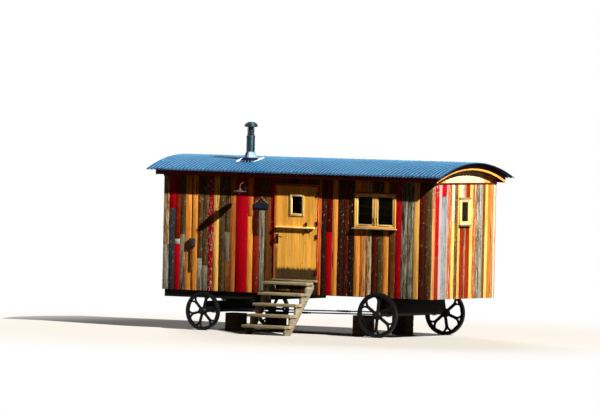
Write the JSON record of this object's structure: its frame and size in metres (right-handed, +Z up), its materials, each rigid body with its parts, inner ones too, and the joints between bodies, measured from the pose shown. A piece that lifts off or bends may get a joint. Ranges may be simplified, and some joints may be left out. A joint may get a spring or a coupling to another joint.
{
  "type": "shepherds hut",
  "caption": "Timber hut on cast iron wheels with a barrel roof of corrugated sheet, a stable door, open steps, glazed windows and a flue.",
  "frame": {"origin": "on the ground, under the middle of the whole outline; the hut's own middle is 0.411 m behind it, because the steps reach forward", "axes": "+X along the door wall, to the right as seen from outside the door; +Y from the door wall to the back wall; +Z up"},
  "size_m": [6.07, 3.452, 3.718],
  "materials": {
    "reclaimed_boards": "weathered paint on reclaimed boards",
    "sunlit_boards": "weathered paint on reclaimed boards",
    "pine": "oiled pine",
    "trim": "oiled pine",
    "floor_boards": "sawn boards",
    "frame_timber": "dark stained timber",
    "roof_timber": "sawn timber",
    "step_timber": "weathered timber",
    "block_timber": "weathered blocks",
    "corrugated_sheet": "satin blue-grey coating",
    "cast_iron": "black painted cast iron",
    "black_iron": "black painted iron",
    "polished_steel": "polished stainless steel",
    "black_rubber": "matt black",
    "lamp_metal": "weathered grey metal",
    "slate": "bare riven slate",
    "grey_box": "dark matt",
    "window_glass": "clear glass"
  },
  "bodies": {
    "hut": {"hut_floor": "floor_boards", "floor_joists": "roof_timber", "chassis_beams": "frame_timber", "front_wall_left": "reclaimed_boards", "front_wall_right": "reclaimed_boards", "front_wall_over_door": "reclaimed_boards", "front_wall_under_door": "reclaimed_boards", "back_wall": "reclaimed_boards", "left_wall": "sunlit_boards", "right_wall": "sunlit_boards", "left_gable_panel": "trim", "right_gable_panel": "trim", "roof_bows": "roof_timber", "roof_deck": "roof_timber", "roof_sheet": "corrugated_sheet", "eave_fascias": "trim", "barge_boards": "trim", "door_jambs": "trim", "door_head_and_threshold": "trim", "door_hinge_pins": "black_iron", "door_hook": "black_iron", "casement_frame": "pine", "casement_sashes": "pine", "gable_window_frame": "pine", "window_glass": "window_glass", "flue_flashing": "black_rubber", "flue_pipe": "polished_steel", "flue_cowl": "polished_steel", "wall_lamp": "lamp_metal", "hanging_sign": "slate", "junction_box": "grey_box", "subframe_beams": "frame_timber", "subframe_cross_members": "frame_timber", "turntable": "cast_iron", "axle_beds": "frame_timber", "axles": "black_iron", "tie_rods": "black_iron", "step_stringers": "step_timber", "step_treads": "step_timber", "block_stacks": "block_timber"},
    "door": {"door_lower_leaf": "pine", "door_upper_leaf": "pine", "door_glass": "window_glass", "door_hinge_leaves": "black_iron", "door_handle": "black_iron", "door_bolt": "black_iron"},
    "front_near_wheel": {"front_wheel_door_side": "cast_iron"},
    "front_far_wheel": {"front_wheel_far_side": "cast_iron"},
    "rear_near_wheel": {"rear_wheel_door_side": "cast_iron"},
    "rear_far_wheel": {"rear_wheel_far_side": "cast_iron"}
  },
  "joints": [
    {"name": "door_hinge", "type": "hinge", "parent": "hut", "child": "door", "pos_m": [0.433, -0.734, 1.79], "axis": [0, 0, 1], "range_deg": [0, 150]},
    {"name": "front_near_wheel_spin", "type": "hinge", "parent": "hut", "child": "front_near_wheel", "pos_m": [-1.865, -0.766, 0.341], "axis": [0, 1, 0], "continuous": true},
    {"name": "front_far_wheel_spin", "type": "hinge", "parent": "hut", "child": "front_far_wheel", "pos_m": [-1.865, 1.588, 0.341], "axis": [0, 1, 0], "continuous": true},
    {"name": "rear_near_wheel_spin", "type": "hinge", "parent": "hut", "child": "rear_near_wheel", "pos_m": [1.74, -0.766, 0.395], "axis": [0, 1, 0], "continuous": true},
    {"name": "rear_far_wheel_spin", "type": "hinge", "parent": "hut", "child": "rear_far_wheel", "pos_m": [1.74, 1.588, 0.395], "axis": [0, 1, 0], "continuous": true}
  ]
}
